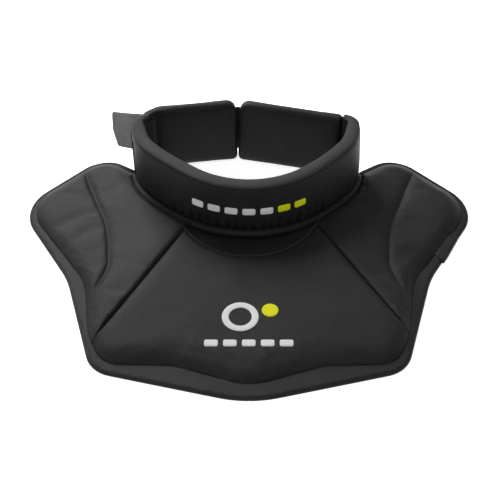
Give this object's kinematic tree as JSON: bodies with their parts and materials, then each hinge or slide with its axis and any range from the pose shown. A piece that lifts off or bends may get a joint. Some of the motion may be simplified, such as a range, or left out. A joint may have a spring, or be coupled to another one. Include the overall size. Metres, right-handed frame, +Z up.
{
  "type": "hockey neck guard",
  "caption": "Bib-style neck guard: padded collar ring on a quilted bib with fold-down shoulder wings, hinged back pads and a hook-tape closure tab.",
  "frame": {"origin": "middle of the footprint, on the surface that the guard lies on", "axes": "+X to the wearer's left as seen from the front of the lying guard, along the wings; +Y from the bib's front tip towards the back pads; +Z up, out of the collar ring"},
  "size_m": [0.3414, 0.2644, 0.054],
  "materials": {
    "black_twill": "coated ballistic nylon twill, fine diagonal weave",
    "grey_welt": "close-woven dark grey tape",
    "binding_tape": "folded woven binding, slight sheen",
    "brushed_lining": "brushed knit, matt",
    "aramid_knit": "cut-resistant knit",
    "foam": "closed-cell foam, matt",
    "loop_tape": "napped loop tape",
    "tab_tape": "woven tape",
    "hook_tape": "mid grey, felt-like",
    "white_thread": "satin embroidery thread",
    "yellow_thread": "satin embroidery thread"
  },
  "bodies": {
    "bib_and_collar": {"collar_outer_cover": "black_twill", "collar_top_welt": "grey_welt", "collar_cut_liner": "aramid_knit", "collar_foam": "foam", "collar_lining": "brushed_lining", "collar_bottom_hem": "binding_tape", "closure_patch": "loop_tape", "neckline_piping": "binding_tape", "throat_gusset": "black_twill", "bib_centre_cover": "black_twill", "bib_centre_foam": "foam", "left_inner_wing_cover": "black_twill", "left_inner_wing_foam": "foam", "right_inner_wing_cover": "black_twill", "right_inner_wing_foam": "foam", "bib_lining": "brushed_lining", "bib_cut_liner": "aramid_knit", "front_edge_band": "binding_tape", "left_shoulder_edge_band": "binding_tape", "right_shoulder_edge_band": "binding_tape", "right_hinge_seam": "binding_tape", "collar_embroidery_white": "white_thread", "collar_embroidery_yellow": "yellow_thread", "bib_embroidery_white": "white_thread", "bib_embroidery_yellow": "yellow_thread"},
    "left_wing_flap": {"left_outer_wing_cover": "black_twill", "left_outer_wing_foam": "foam", "left_outer_wing_lining": "brushed_lining", "left_wing_edge_band": "binding_tape"},
    "right_wing_flap": {"right_outer_wing_cover": "black_twill", "right_outer_wing_foam": "foam", "right_outer_wing_lining": "brushed_lining", "right_wing_edge_band": "binding_tape"},
    "right_back_pad": {"right_back_pad_cover": "black_twill", "right_back_pad_foam": "foam", "centre_hinge_seam": "binding_tape"},
    "left_back_pad": {"left_back_pad_cover": "black_twill", "left_back_pad_foam": "foam", "tab_root": "tab_tape"},
    "closure_tab": {"closure_tab": "tab_tape", "closure_tab_hooks": "hook_tape"}
  },
  "joints": [
    {"name": "left_wing_fold", "type": "hinge", "parent": "bib_and_collar", "child": "left_wing_flap", "pos_m": [-0.113, 0, 0.004], "axis": [0, 1, 0], "range_deg": [-35, 40]},
    {"name": "right_wing_fold", "type": "hinge", "parent": "bib_and_collar", "child": "right_wing_flap", "pos_m": [0.113, 0, 0.004], "axis": [0, -1, 0], "range_deg": [-35, 40]},
    {"name": "right_pad_hinge", "type": "hinge", "parent": "bib_and_collar", "child": "right_back_pad", "pos_m": [0.0745, 0.112, 0.0265], "axis": [0, 0, 1], "range_deg": [-120, 0]},
    {"name": "centre_back_hinge", "type": "hinge", "parent": "right_back_pad", "child": "left_back_pad", "pos_m": [-0.00865, 0.13273, 0.0265], "axis": [0, 0, 1], "range_deg": [-90, 0]},
    {"name": "tab_peel", "type": "hinge", "parent": "left_back_pad", "child": "closure_tab", "pos_m": [-0.08661, 0.11858, 0.03], "axis": [0, 0, 1], "range_deg": [-90, 80]}
  ]
}
